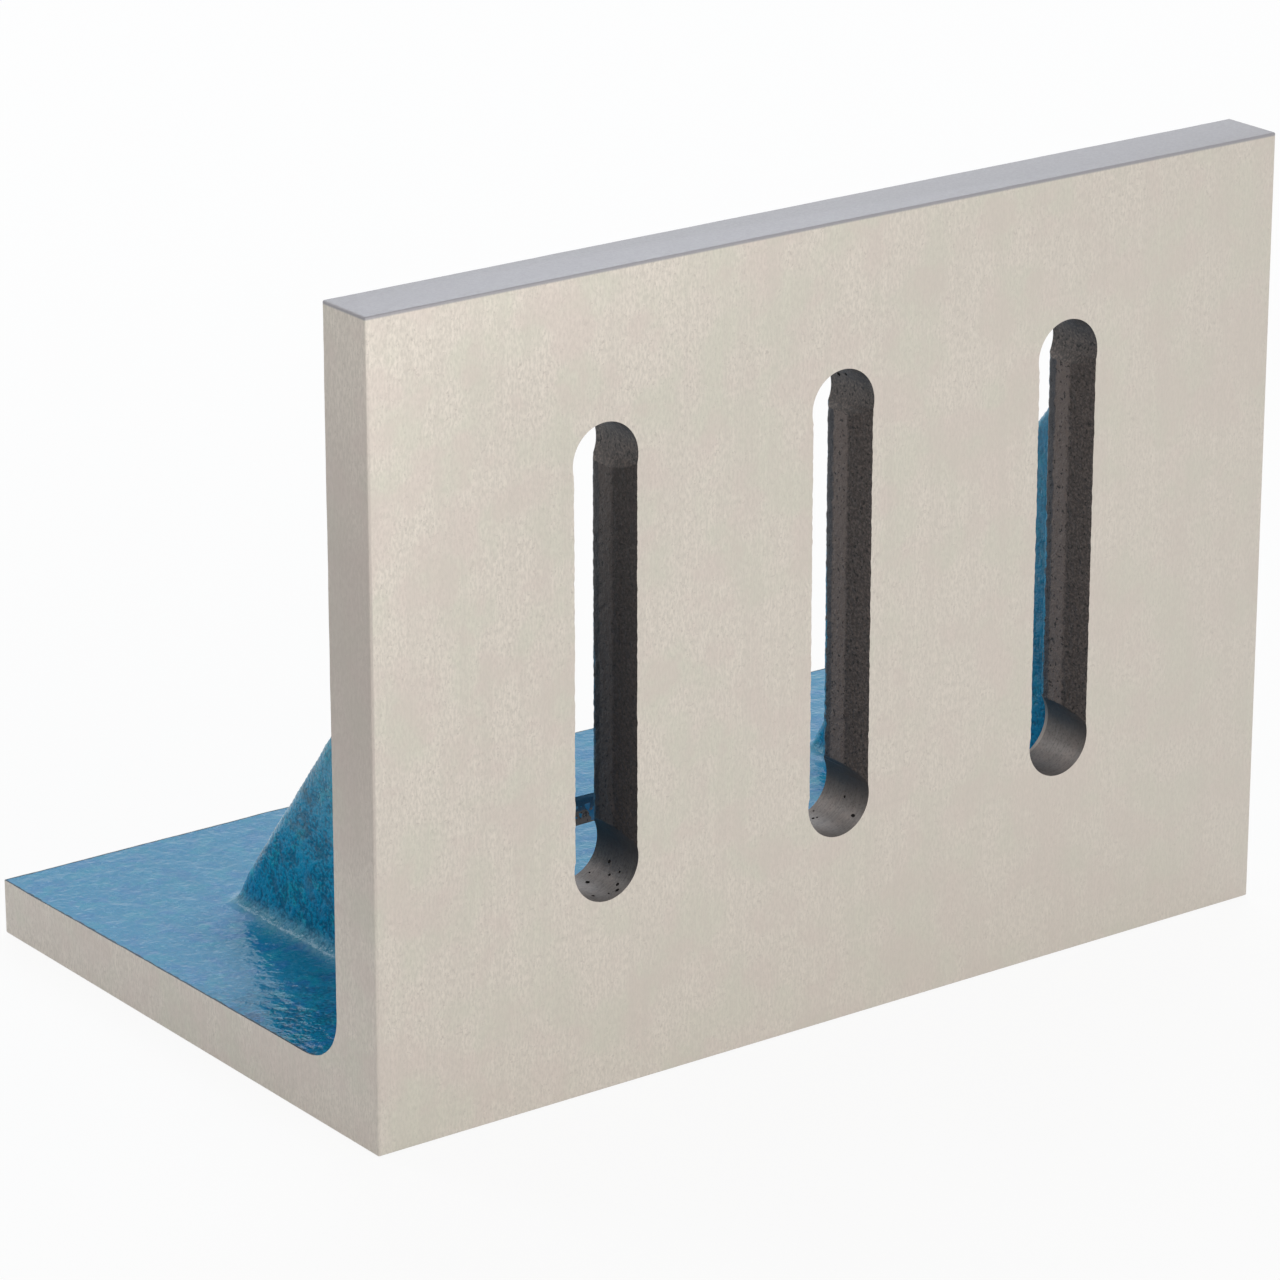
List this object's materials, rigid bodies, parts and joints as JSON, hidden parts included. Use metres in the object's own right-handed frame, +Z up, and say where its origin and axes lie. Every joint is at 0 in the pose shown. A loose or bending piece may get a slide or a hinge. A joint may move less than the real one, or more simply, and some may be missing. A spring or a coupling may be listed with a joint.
{
  "type": "angle plate",
  "caption": "Webbed iron angle plate with ground outer faces and through slots in wall and foot, for clamping work upright on a machine table.",
  "frame": {"origin": "centre of the base rectangle, on the ground base", "axes": "+X along the length, +Y from the ground front face towards the free edge of the foot, +Z up"},
  "size_m": [0.2032, 0.127, 0.1524],
  "materials": {
    "iron_casting": "ground bare iron on the outer faces and ends, as-cast surfaces inside under glossy blue paint"
  },
  "bodies": {
    "root": {"angle_plate": "iron_casting"}
  },
  "joints": []
}
